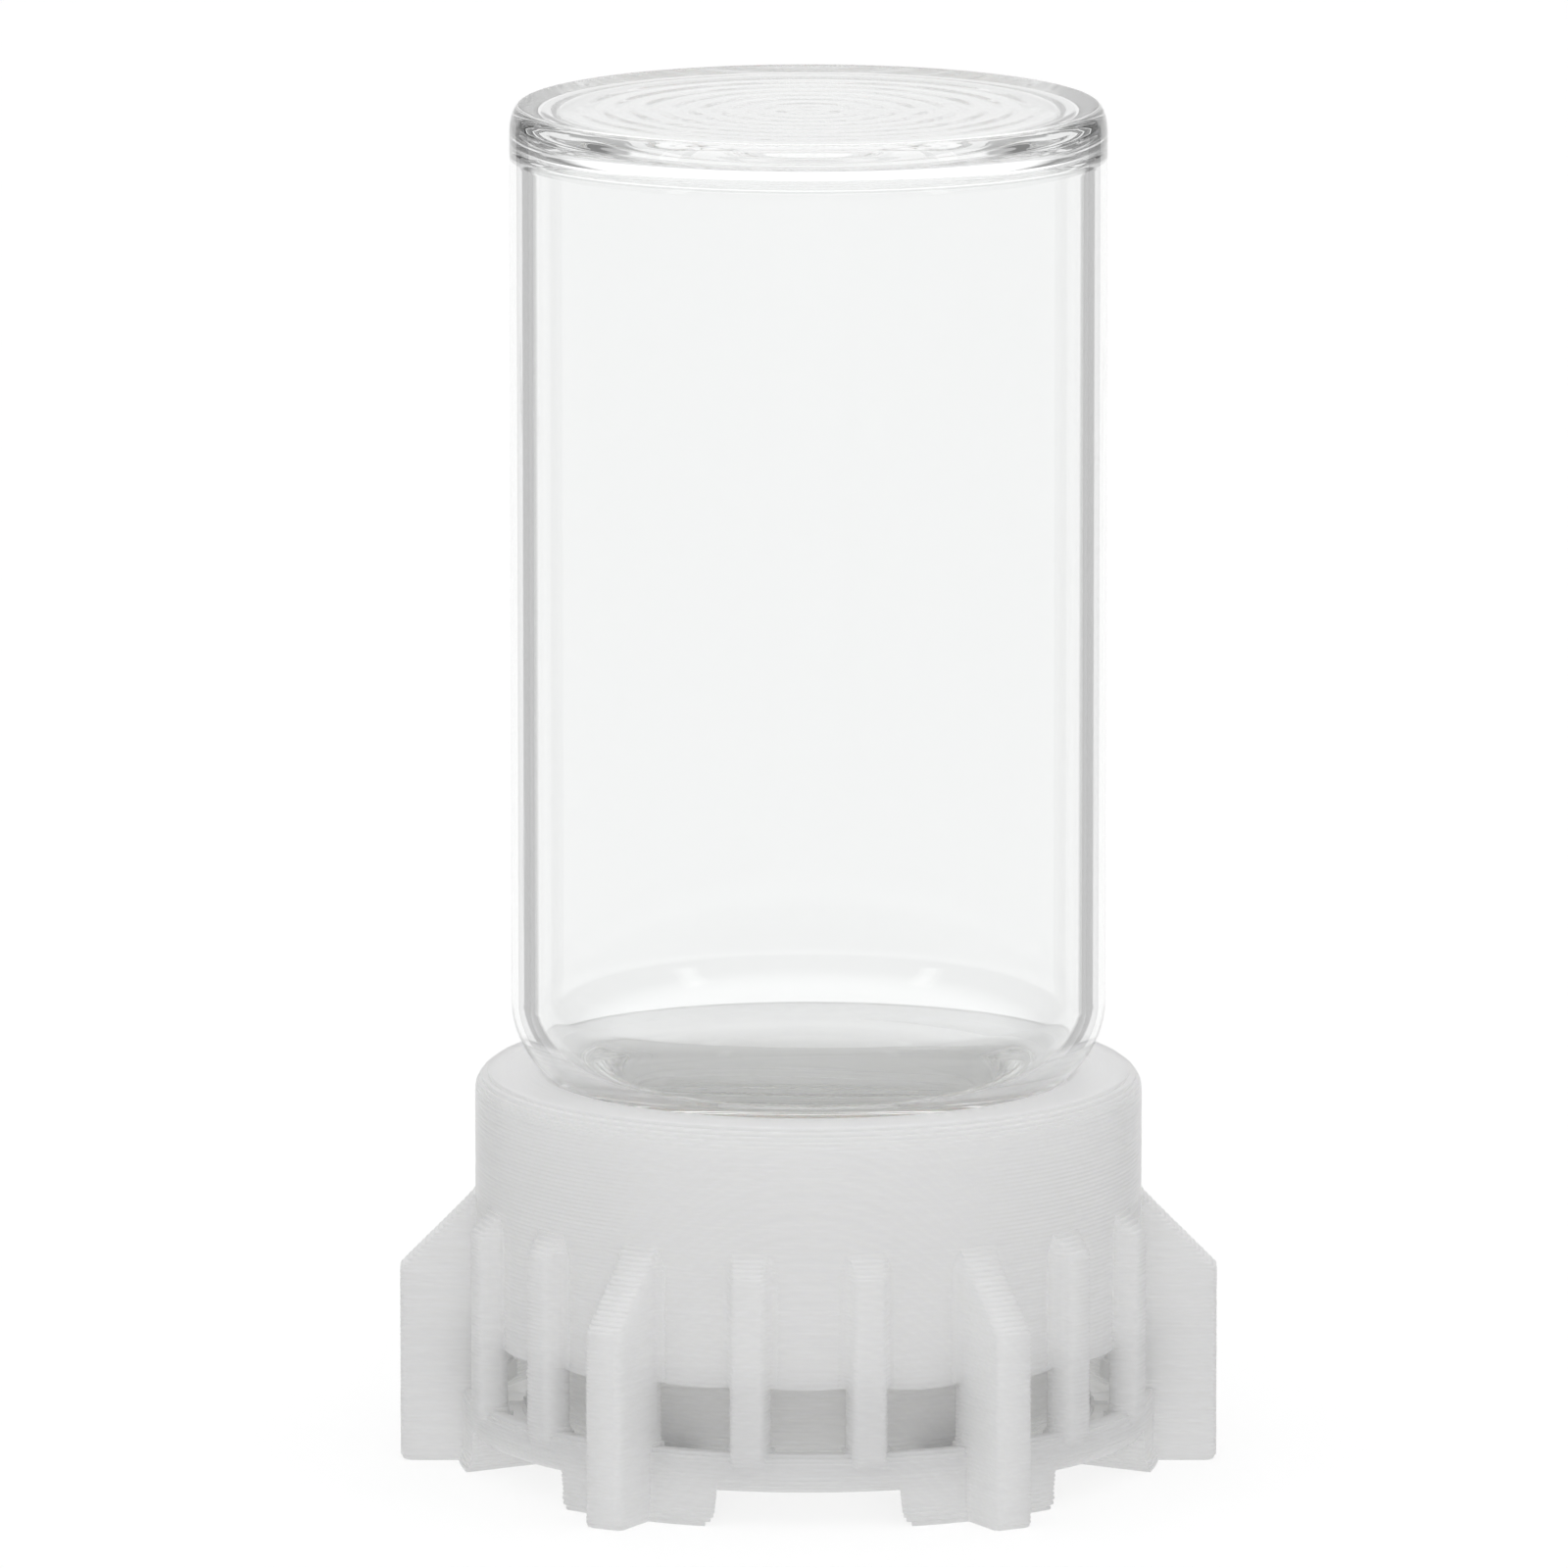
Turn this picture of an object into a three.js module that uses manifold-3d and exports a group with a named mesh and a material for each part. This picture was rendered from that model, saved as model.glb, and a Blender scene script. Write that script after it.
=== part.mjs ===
// Gravity waterer for chicks and other very small livestock: a glass bottle
// standing upside down in a printed screw base.
//
// Millimetres, +Z up. The origin is on the object's axis in the plane that the
// feet stand on. The front, a drinking window in the middle, faces -Y.
//
// Water stands in the bottle, runs through six outlets into the ring trough and
// stops there when it covers the outlets, because no more air can get in.

import * as THREE from 'three';
import { mergeVertices } from 'three/addons/utils/BufferGeometryUtils.js';
import Module from 'manifold-3d';

const wasm = await Module();
wasm.setup();

// ---------------------------------------------------------------- dimensions

const TURN = 2 * Math.PI;
const ROUND_SEGMENTS = 72;
const BOTTLE_SEGMENTS = 64;
const CORNER_SEGMENTS = 4;
const BURIED_END = 0.1;
const OVERREACH = 1.0;

// Bottle: 20 ml vial size, standing on its mouth.
const BOTTLE = {
  outerRadius: 13.75,
  wall: 1.1,
  topZ: 63.4,
  baseThickness: 1.3,
  baseCornerAcross: 0.55,
  baseCornerDown: 1.3,
  innerCornerRadius: 1.2,
  puntRise: 0.25,
  shoulderStartZ: 21.72,
  shoulderRadius: 4.5,
  neckFilletRadius: 1.2,
  neckRadius: 10.7,
  mouthZ: 6.4,
  boreRadius: 8.8,
  rimEase: 0.35,
};

// Screw thread shared by the bottle's neck and the base's socket.
const THREAD = {
  pitch: 3.175,
  crestRadius: 11.75,
  rootWidth: 1.9,
  crestWidth: 0.8,
  bottomZ: 8.6,
  startDegrees: 1.3,
  turns: 1.5,
  segmentsPerTurn: 30,
  runoutTurns: 0.12,
  bite: 0.4,
};

// Groove in the socket that takes the thread, wider and deeper all round.
const GROOVE = {
  depthRadius: 12.15,
  openWidth: 2.7,
  floorWidth: 1.5,
  runoutTurns: 0.02,
  turnsPastTop: 0.5,
  cutBack: 0.5,
};

// Printed base.
const BASE = {
  collarRadius: 15.43,
  collarTopZ: 18.4,
  collarEdge: 1.0,
  socketRadius: 11.05,
  socketLead: 1.4,
  seatZ: 5.2,
  wellRadius: 8.0,
  wellFloorZ: 2.2,
  wellWallRadius: 12.9,
  windowTopZ: 6.4,
  lipZ: 3.4,
  lipInnerRadius: 15.3,
  troughFloorRadius: 14.9,
  troughFloorZ: 2.2,
  troughFillet: 1.2,
  rimRadius: 16.1,
  undersideZ: 1.6,
  undersideChamfer: 0.8,
};

const RIB_POSITIONS = 18;
const FIN_EVERY = 3;
const RIB = {
  thickness: 1.9,
  cornerRadius: 0.4,
  innerRadius: 15.1,
  outerRadius: 16.45,
  bottomZ: 2.7,
  bottomRise: 0.3,
  slopeTopZ: 12.62,
  slopeEndZ: 11.6,
};
const FIN = {
  thickness: 1.9,
  cornerRadius: 0.3,
  innerRadius: 15.1,
  outerRadius: 18.93,
  slopeEndZ: 9.07,
  slopeTopZ: 12.5,
};
// The feet are what three straight channels leave of a ring under the tray.
const FOOT = {
  innerRadius: 9.2,
  outerRadius: 16.0,
  toeRadius: 16.3,
  channelWidth: 8.2,
  channelWidthAtFloor: 10.8,
  chamferHeight: 0.9,
};
const CHANNELS = 3;
const OUTLET = {
  width: 2.2,
  bottomZ: 2.2,
  topZ: 2.65,
  innerRadius: 7.0,
  outerRadius: 14.0,
};

// Flat ring that seals the bottle's mouth on its seat in the socket.
const GASKET = {
  outerRadius: 10.5,
  innerRadius: 8.4,
  thickness: 1.1,
  gap: 0.05,
  edge: 0.2,
};

// ----------------------------------------------------------------- materials

const glass = new THREE.MeshStandardMaterial({
  color: 0xf2f5f4, roughness: 0.04, metalness: 0,
});
const printedPlastic = new THREE.MeshStandardMaterial({
  color: 0xd9dad8, roughness: 0.45, metalness: 0,
});
const siliconeRubber = new THREE.MeshStandardMaterial({
  color: 0xe9e6df, roughness: 0.6, metalness: 0,
});

// ------------------------------------------------------------------- solids

function toSolid(geometry) {
  const bare = geometry.index ? geometry.clone() : geometry;
  bare.deleteAttribute('normal');
  bare.deleteAttribute('uv');
  const merged = mergeVertices(bare, 1e-4);
  return new wasm.Manifold(new wasm.Mesh({
    numProp: 3,
    vertProperties: new Float32Array(merged.attributes.position.array),
    triVerts: new Uint32Array(merged.index.array),
  }));
}

function toMesh(name, solid, material) {
  const { vertProperties, triVerts } = solid.getMesh();
  const geometry = new THREE.BufferGeometry();
  geometry.setAttribute('position', new THREE.BufferAttribute(vertProperties, 3));
  geometry.setIndex(new THREE.BufferAttribute(triVerts, 1));
  geometry.computeVertexNormals();
  const mesh = new THREE.Mesh(geometry, material);
  mesh.name = name;
  return mesh;
}

// Turns a profile of [radius, z] points about the Z axis.
function revolve(profile, segments = ROUND_SEGMENTS) {
  const points = profile.map(([radius, z]) => new THREE.Vector2(radius, z));
  const geometry = new THREE.LatheGeometry(points, segments);
  geometry.rotateX(Math.PI / 2);
  return toSolid(geometry);
}

// [radius, z] points on an arc about a centre. An ellipse has a second radius.
function arc(centre, radius, fromDegrees, toDegrees, steps, radiusZ = radius) {
  return Array.from({ length: steps + 1 }, (_, i) => {
    const angle = THREE.MathUtils.degToRad(
      fromDegrees + (toDegrees - fromDegrees) * (i / steps));
    return [centre[0] + radius * Math.cos(angle), centre[1] + radiusZ * Math.sin(angle)];
  });
}

// Rod that follows a helix about Z. Its section is a trapezoid, wide at the
// root radius and narrow at the tip radius, and it runs out to nothing at both
// ends by sinking towards the root when runout is set.
function helixRod({ rootRadius, tipRadius, rootWidth, tipWidth, startZ, turns, runout }) {
  const section = new THREE.Shape([
    new THREE.Vector2(-rootWidth / 2, 0),
    new THREE.Vector2(rootWidth / 2, 0),
    new THREE.Vector2(tipWidth / 2, 1),
    new THREE.Vector2(-tipWidth / 2, 1),
  ]);
  const steps = Math.round(turns * THREAD.segmentsPerTurn);
  const geometry = new THREE.ExtrudeGeometry(section, {
    depth: 1, steps, bevelEnabled: false,
  });
  const position = geometry.attributes.position;
  for (let i = 0; i < position.count; i += 1) {
    const along = position.getZ(i);
    const angle = along * turns * TURN;
    const fromEnd = Math.min(along, 1 - along) * turns;
    const height = Math.min(1, BURIED_END + fromEnd / runout);
    const tip = rootRadius + (tipRadius - rootRadius) * height;
    const radius = rootRadius + position.getY(i) * (tip - rootRadius);
    const z = startZ + position.getX(i) + along * turns * THREAD.pitch;
    position.setXYZ(i, radius * Math.cos(angle), radius * Math.sin(angle), z);
  }
  return toSolid(geometry);
}

// Upright plate on the X axis, cut to a side outline of [radius, z] points and
// a plan thickness with rounded outer corners.
function radialPlate({ outline, thickness, cornerRadius, outerRadius, innerRadius }) {
  const half = thickness / 2;
  const side = new THREE.ExtrudeGeometry(
    new THREE.Shape(outline.map(([radius, z]) => new THREE.Vector2(radius, z))),
    { depth: thickness, bevelEnabled: false });
  side.rotateX(Math.PI / 2);
  side.translate(0, half, 0);

  const plan = new THREE.Shape();
  plan.moveTo(innerRadius - OVERREACH, -half);
  plan.lineTo(outerRadius - cornerRadius, -half);
  plan.absarc(outerRadius - cornerRadius, -half + cornerRadius, cornerRadius,
    -Math.PI / 2, 0, false);
  plan.absarc(outerRadius - cornerRadius, half - cornerRadius, cornerRadius,
    0, Math.PI / 2, false);
  plan.lineTo(innerRadius - OVERREACH, half);
  plan.closePath();
  const column = new THREE.ExtrudeGeometry(plan, {
    depth: BASE.collarTopZ, curveSegments: CORNER_SEGMENTS, bevelEnabled: false,
  });
  column.translate(0, 0, -OVERREACH);
  return toSolid(side).intersect(toSolid(column));
}

function turnedCopies(solid, count, startDegrees, stepDegrees, keep = () => true) {
  return Array.from({ length: count }, (_, i) => i)
    .filter(keep)
    .map((i) => solid.rotate([0, 0, startDegrees + i * stepDegrees]));
}

// ------------------------------------------------------------------- bottle

// Shoulder from the body's wall down and in to the neck's: a convex arc, then
// a concave one that meets it without a corner.
function shoulder(bodyRadius, roundRadius, neckRadius, filletRadius) {
  const steps = 4;
  const round = [bodyRadius - roundRadius, BOTTLE.shoulderStartZ];
  const across = neckRadius + filletRadius - round[0];
  const down = Math.sqrt((roundRadius + filletRadius) ** 2 - across ** 2);
  const lean = THREE.MathUtils.radToDeg(Math.atan2(down, across));
  const fillet = [neckRadius + filletRadius, round[1] - down];
  return [
    ...arc(round, roundRadius, 0, -lean, steps),
    ...arc(fillet, filletRadius, 180 - lean, 180, steps - 1).slice(1),
  ];
}

function bottleProfile() {
  const b = BOTTLE;
  const inner = b.outerRadius - b.wall;
  const innerTop = b.topZ - b.puntRise - b.baseThickness;
  const outside = [
    [b.boreRadius + b.rimEase, b.mouthZ],
    [b.neckRadius - b.rimEase, b.mouthZ],
    [b.neckRadius, b.mouthZ + b.rimEase],
    ...shoulder(b.outerRadius, b.shoulderRadius, b.neckRadius, b.neckFilletRadius).reverse(),
    ...arc([b.outerRadius - b.baseCornerAcross, b.topZ - b.baseCornerDown],
      b.baseCornerAcross, 0, 90, 3, b.baseCornerDown),
    [0, b.topZ - b.puntRise],
  ];
  const inside = [
    [0, innerTop],
    ...arc([inner - b.innerCornerRadius, innerTop - b.innerCornerRadius],
      b.innerCornerRadius, 90, 0, 3),
    ...shoulder(inner, b.shoulderRadius - b.wall, b.boreRadius,
      b.neckFilletRadius + b.wall),
    [b.boreRadius, b.mouthZ + b.rimEase],
  ];
  return [...outside, ...inside, outside[0]];
}

function buildBottle() {
  const body = revolve(bottleProfile(), BOTTLE_SEGMENTS);
  const thread = helixRod({
    rootRadius: BOTTLE.neckRadius - THREAD.bite,
    tipRadius: THREAD.crestRadius,
    rootWidth: THREAD.rootWidth,
    tipWidth: THREAD.crestWidth,
    startZ: THREAD.bottomZ,
    turns: THREAD.turns,
    runout: THREAD.runoutTurns,
  });
  const placed = thread.rotate([0, 0, THREAD.startDegrees]);
  return toMesh('glass_bottle', body.add(placed), glass);
}

// ------------------------------------------------------------- printed base

function baseProfile() {
  const b = BASE;
  return [
    [0, b.undersideZ],
    [b.rimRadius - b.undersideChamfer, b.undersideZ],
    [b.rimRadius, b.undersideZ + b.undersideChamfer],
    [b.rimRadius, b.lipZ],
    [b.lipInnerRadius, b.lipZ],
    [b.troughFloorRadius, b.troughFloorZ],
    ...arc([b.wellWallRadius + b.troughFillet, b.troughFloorZ + b.troughFillet],
      b.troughFillet, 270, 180, 2),
    [b.wellWallRadius, b.windowTopZ],
    [b.collarRadius, b.windowTopZ],
    ...arc([b.collarRadius - b.collarEdge, b.collarTopZ - b.collarEdge],
      b.collarEdge, 0, 90, 4),
    [b.socketRadius + b.socketLead, b.collarTopZ],
    [b.socketRadius, b.collarTopZ - b.socketLead],
    [b.socketRadius, b.seatZ],
    [b.wellRadius, b.seatZ],
    [b.wellRadius, b.wellFloorZ],
    [0, b.wellFloorZ],
  ];
}

function buildRib() {
  return radialPlate({
    ...RIB,
    outline: [
      [RIB.innerRadius, RIB.bottomZ],
      [RIB.outerRadius, RIB.bottomZ + RIB.bottomRise],
      [RIB.outerRadius, RIB.slopeEndZ],
      [BASE.collarRadius, RIB.slopeTopZ],
      [RIB.innerRadius, RIB.slopeTopZ],
    ],
  });
}

function buildFin() {
  return radialPlate({
    ...FIN,
    outline: [
      [FIN.innerRadius, 0],
      [FIN.outerRadius, 0],
      [FIN.outerRadius, FIN.slopeEndZ],
      [BASE.collarRadius, FIN.slopeTopZ],
      [FIN.innerRadius, FIN.slopeTopZ],
    ],
  });
}

// Six wedge-shaped feet, one under each fin: a ring under the tray, crossed by
// straight channels that are wider along their lower edges.
function buildFeet() {
  const top = BASE.undersideZ + BASE.undersideChamfer;
  const ring = revolve([
    [FOOT.innerRadius, 0],
    [FOOT.toeRadius, 0],
    [FOOT.outerRadius, FOOT.chamferHeight],
    [FOOT.outerRadius, top],
    [FOOT.innerRadius, top],
    [FOOT.innerRadius, 0],
  ]);
  const half = FOOT.channelWidth / 2;
  const halfAtFloor = FOOT.channelWidthAtFloor / 2;
  const reach = FOOT.toeRadius + OVERREACH;
  const section = new THREE.Shape([
    new THREE.Vector2(-halfAtFloor, -OVERREACH),
    new THREE.Vector2(halfAtFloor, -OVERREACH),
    new THREE.Vector2(halfAtFloor, 0),
    new THREE.Vector2(half, FOOT.chamferHeight),
    new THREE.Vector2(half, top + OVERREACH),
    new THREE.Vector2(-half, top + OVERREACH),
    new THREE.Vector2(-half, FOOT.chamferHeight),
    new THREE.Vector2(-halfAtFloor, 0),
  ]);
  const channel = new THREE.ExtrudeGeometry(section, { depth: 2 * reach, bevelEnabled: false });
  channel.translate(0, 0, -reach);
  channel.rotateX(Math.PI / 2);
  const step = 180 / CHANNELS;
  return turnedCopies(toSolid(channel), CHANNELS, 0, step)
    .reduce((feet, cut) => feet.subtract(cut), ring);
}

function buildOutlet() {
  const length = OUTLET.outerRadius - OUTLET.innerRadius;
  const slot = new THREE.BoxGeometry(length, OUTLET.width, OUTLET.topZ - OUTLET.bottomZ);
  slot.translate(OUTLET.innerRadius + length / 2, 0, (OUTLET.topZ + OUTLET.bottomZ) / 2);
  return toSolid(slot);
}

function buildSocketGroove() {
  const startZ = THREAD.bottomZ - THREAD.pitch / 2;
  const turns = (BASE.collarTopZ - startZ) / THREAD.pitch + GROOVE.turnsPastTop;
  const groove = helixRod({
    rootRadius: BASE.socketRadius - GROOVE.cutBack,
    tipRadius: GROOVE.depthRadius,
    rootWidth: GROOVE.openWidth,
    tipWidth: GROOVE.floorWidth,
    startZ,
    turns,
    runout: GROOVE.runoutTurns,
  });
  const lag = 360 * (startZ - THREAD.bottomZ) / THREAD.pitch;
  return groove.rotate([0, 0, THREAD.startDegrees + lag]);
}

function buildBase() {
  const pitchDegrees = 360 / RIB_POSITIONS;
  const isFin = (i) => i % FIN_EVERY === 0;
  const fins = turnedCopies(buildFin(), RIB_POSITIONS, 0, pitchDegrees, isFin);
  const ribs = turnedCopies(buildRib(), RIB_POSITIONS, 0, pitchDegrees, (i) => !isFin(i));
  const outlets = turnedCopies(buildOutlet(), RIB_POSITIONS, 0, pitchDegrees, isFin);

  let base = revolve(baseProfile()).add(buildFeet());
  for (const piece of [...fins, ...ribs]) base = base.add(piece);
  for (const outlet of outlets) base = base.subtract(outlet);
  base = base.subtract(buildSocketGroove());
  return toMesh('printed_base', base, printedPlastic);
}

// ------------------------------------------------------------------- gasket

function buildGasket() {
  const g = GASKET;
  const bottom = BASE.seatZ + g.gap;
  const top = bottom + g.thickness;
  const ring = revolve([
    [g.innerRadius, bottom],
    [g.outerRadius - g.edge, bottom],
    [g.outerRadius, bottom + g.edge],
    [g.outerRadius, top - g.edge],
    [g.outerRadius - g.edge, top],
    [g.innerRadius, top],
    [g.innerRadius, bottom],
  ]);
  return toMesh('mouth_gasket', ring, siliconeRubber);
}

// ----------------------------------------------------------------- assembly

const waterer = new THREE.Group();
waterer.add(buildBase(), buildGasket(), buildBottle());

export default waterer;
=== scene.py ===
"""Looks of a small gravity waterer: a clear glass bottle upside down in a printed screw base.

The pieces are built in millimetres, in the CAD model's frame, and scaled to metres at the end.
"""
import math
import random

import bpy
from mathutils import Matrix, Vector, noise


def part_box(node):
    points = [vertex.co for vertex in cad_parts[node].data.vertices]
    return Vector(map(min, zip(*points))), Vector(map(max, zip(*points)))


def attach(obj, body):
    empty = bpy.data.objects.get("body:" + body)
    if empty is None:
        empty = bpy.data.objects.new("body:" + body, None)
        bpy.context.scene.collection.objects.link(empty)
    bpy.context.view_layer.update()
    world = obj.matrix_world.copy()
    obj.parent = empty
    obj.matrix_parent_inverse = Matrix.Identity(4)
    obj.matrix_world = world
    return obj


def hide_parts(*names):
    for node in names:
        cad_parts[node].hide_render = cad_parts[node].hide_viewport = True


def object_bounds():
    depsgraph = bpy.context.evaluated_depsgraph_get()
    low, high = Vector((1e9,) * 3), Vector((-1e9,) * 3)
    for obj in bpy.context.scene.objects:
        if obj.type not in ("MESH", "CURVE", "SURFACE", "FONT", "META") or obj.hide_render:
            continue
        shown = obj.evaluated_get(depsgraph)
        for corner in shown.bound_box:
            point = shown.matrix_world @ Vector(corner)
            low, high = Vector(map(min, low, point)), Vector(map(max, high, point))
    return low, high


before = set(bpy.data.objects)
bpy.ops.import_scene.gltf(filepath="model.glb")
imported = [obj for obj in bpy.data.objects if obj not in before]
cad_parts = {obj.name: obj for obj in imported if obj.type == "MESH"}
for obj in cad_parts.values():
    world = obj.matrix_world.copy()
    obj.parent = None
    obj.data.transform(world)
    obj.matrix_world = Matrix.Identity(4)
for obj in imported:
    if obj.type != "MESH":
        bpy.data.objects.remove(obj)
cad_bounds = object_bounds()

MM = 0.001
SEED = 11
random.seed(SEED)

# ------------------------------------------------------------------ sizes, mm

base_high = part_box("printed_base")[1] / MM
bottle_low, bottle_high = (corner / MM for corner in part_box("glass_bottle"))
gasket_low, gasket_high = (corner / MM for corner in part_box("mouth_gasket"))

# Layers of the print. Each layer's bead is a row of (height in the layer, share of BEAD set in).
LAYER = 0.2
BEAD = 0.045
BEAD_ROWS = ((0.03, 0.85), (0.28, 0.1), (0.72, 0.1), (0.97, 0.85))
LAYER_WANDER = 0.0015
ROUND = 288

# Beads on a flat top: (place across the bead, share of the depth between two beads).
FLAT_BEAD_WIDTH = 0.42
FLAT_BEAD_DEPTH = 0.02
FLAT_BEAD_ROWS = ((0.06, 1.0), (0.35, 0.0), (0.65, 0.0), (0.94, 1.0))
FLAT_BEAD_MARGIN = 0.05

# Slow waviness of the beads.
WAVE = 0.006
WAVES_PER_MM = 0.3
WAVES_PER_LAYER = 0.35

# Collar, socket, well and trough.
COLLAR_R = 15.43
COLLAR_TOP = round(base_high.z / LAYER) * LAYER
COLLAR_EDGE = 1.0
SOCKET_R = 11.05
SOCKET_LEAD = 1.4
SEAT_Z = 5.2
WELL_R = 8.0
WELL_WALL_R = 12.9
LIP_Z = 3.4
LIP_INNER_R = 15.3
TROUGH_R = 14.9
TROUGH_Z = 2.2
LIP_ROUND = 0.4
TROUGH_FILLET = 1.2
RIM_R = 16.1
UNDERSIDE_Z = 1.6
UNDERSIDE_ROUND = 0.8

# Windows between the bars. The first layers over each one sag.
POSITIONS = 18
WINDOW_TOP = 6.4
WINDOW_TOP_RADII = (WELL_WALL_R + 0.1, 13.5, 14.2, 14.9)
WINDOW_TOP_SLACK = 0.01
SAG_RANGE = (0.10, 0.26)
SAG_SKEW = 0.25
SAG_LAYERS = 3
SAG_START_R = WELL_WALL_R + 0.3
SAG_SHARPNESS = 1.5

# Bars: narrow ribs, and fins in every third place.
FIN_EVERY = 3
BAR_HALF = 0.93
BAR_CORNER = 0.45
BAR_TAPER = 0.12
BAR_BURIED = 0.6
BAR_SIDE_POINTS = 6
BAR_FILLET_STEPS = 3
BAR_CORNER_STEPS = 4
BAR_LEAST_REACH = 0.04
BAR_STEP_SHARE = 0.35
ROUND_SHARE = 0.4
WALL_FILLET = 0.4
WINDOW_FILLET = 0.03
SILL_FILLET = 0.45
LIP_BLEND = 0.25
RIB_INNER_R = 15.1
RIB_R = 16.4
RIB_BOTTOM = 2.6
RIB_TOP = 12.6
RIB_TOE_R = RIM_R - 0.05
FIN_R = base_high.x
FIN_TOP = 12.6
FIN_CORNER = 0.3
FIN_FOOT_ROUND = 0.35

# Feet: what straight channels that cross on the axis leave of a ring.
CHANNELS = 3
FOOT_INNER_R = 9.2
FOOT_R = 16.06
FOOT_TOP = 2.4
FOOT_TOE = 0.24
FOOT_ROUND = 0.75
FOOT_POINT = 0.5
FOOT_STEPS = 24
CHANNEL_HALF = 4.1
CHANNEL_SLANT = 0.25

# Outlets from the well to the trough.
OUTLET_HALF = 1.1
OUTLET_LOW = TROUGH_Z + 0.02
OUTLET_HIGH = TROUGH_Z + 0.45
OUTLET_OVERREACH = 1

# Screw thread on the neck and its groove in the socket. Widths are (at the root, at the tip).
THREAD_PITCH = 3.175
THREAD_Z = 8.6
THREAD_TURNS = 1.5
THREAD_START = math.radians(1.3)
THREAD_STEPS = 64
THREAD_R = 11.75
THREAD_WIDTHS = (1.9, 0.8)
THREAD_BITE = 0.4
THREAD_RUNOUT = 0.12
THREAD_END = 0.1
GROOVE_R = 12.15
GROOVE_WIDTHS = (2.7, 1.5)
GROOVE_CUT_BACK = 0.5
GROOVE_PAST_TOP = 0.5
GROOVE_RUNOUT = 0.02

# Bottle.
BOTTLE_R = bottle_high.x
BOTTLE_ROUND = 256
NECK_R = 10.7
BORE_R = 8.8
GLASS = 1.1
BASE_GLASS = 1.3
BASE_INNER_CORNER = 1.3
BASE_CORNER = (0.55, 1.3)
BASE_ROWS = 120
SHOULDER_Z = 21.72
SHOULDER_ROUND = 4.5
SHOULDER_STEPS = 20
BASE_CORNER_STEPS = 10
INNER_CORNER_STEPS = 12
MOUTH_STEPS = 4
NECK_FILLET = 1.2
MOUTH_ROUND = 0.45
MOUTH_EASE = 0.15
WALL_END = 0.06
PUNT = 0.12
RIPPLE = 0.012
RIPPLE_PITCH = 1.35
RIPPLE_START = 2.0
RIPPLE_END = 11.3
RIPPLE_FADE = 1.5

# Gasket.
GASKET_EDGE = 0.25
GASKET_ROUND = 128
GASKET_STEPS = 5

# Edges that turn by more than this many degrees stay sharp.
PRINT_SMOOTH = 60
GLASS_SMOOTH = 40
GASKET_SMOOTH = 40


# ---------------------------------------------------------------- mesh helpers

def new_object(name, verts, faces):
    mesh = bpy.data.meshes.new(name)
    mesh.from_pydata([tuple(v) for v in verts], [], faces)
    mesh.validate()
    obj = bpy.data.objects.new(name, mesh)
    bpy.context.scene.collection.objects.link(obj)
    return obj


def revolve(name, profile, segments, shape=None):
    """Closed solid from a profile of (radius, z) points that starts and ends on the axis."""
    verts, rings = [], []
    for radius, z in profile:
        if radius < 1e-6:
            rings.append([len(verts)])
            verts.append((0.0, 0.0, z))
            continue
        rings.append(list(range(len(verts), len(verts) + segments)))
        for i in range(segments):
            angle = 2 * math.pi * i / segments
            r, height = shape(radius, z, angle) if shape else (radius, z)
            verts.append((r * math.cos(angle), r * math.sin(angle), height))
    faces = []
    for low, high in zip(rings, rings[1:]):
        for i in range(segments):
            j = (i + 1) % segments
            if len(low) == 1:
                faces.append((low[0], high[j], high[i]))
            elif len(high) == 1:
                faces.append((low[i], low[j], high[0]))
            else:
                faces.append((low[i], low[j], high[j], high[i]))
    return new_object(name, verts, faces)


def revolve_ring(name, profile, segments):
    """Closed ring from a closed profile of (radius, z) points that stays off the axis."""
    verts, faces = [], []
    for r, z in profile:
        for i in range(segments):
            angle = 2 * math.pi * i / segments
            verts.append((r * math.cos(angle), r * math.sin(angle), z))
    rows = len(profile)
    for a in range(rows):
        b = (a + 1) % rows
        for i in range(segments):
            j = (i + 1) % segments
            faces.append((a * segments + i, a * segments + j, b * segments + j, b * segments + i))
    return new_object(name, verts, faces)


def stack(rings):
    """Closed solid from equal-length outlines, each ((x, y) points, z), from the lowest up."""
    count = len(rings[0][0])
    verts = [(x, y, z) for outline, z in rings for x, y in outline]
    faces = [tuple(range(count - 1, -1, -1))]
    for level in range(len(rings) - 1):
        start = level * count
        for i in range(count):
            j = (i + 1) % count
            faces.append((start + i, start + j, start + count + j, start + count + i))
    top = (len(rings) - 1) * count
    faces.append(tuple(range(top, top + count)))
    return verts, faces


def turned(solids, angles):
    """One mesh that holds the solid for each angle, turned about Z."""
    verts, faces = [], []
    for (solid_verts, solid_faces), angle in zip(solids, angles):
        c, s = math.cos(angle), math.sin(angle)
        start = len(verts)
        verts += [(x * c - y * s, x * s + y * c, z) for x, y, z in solid_verts]
        faces += [tuple(start + i for i in face) for face in solid_faces]
    return verts, faces


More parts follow.
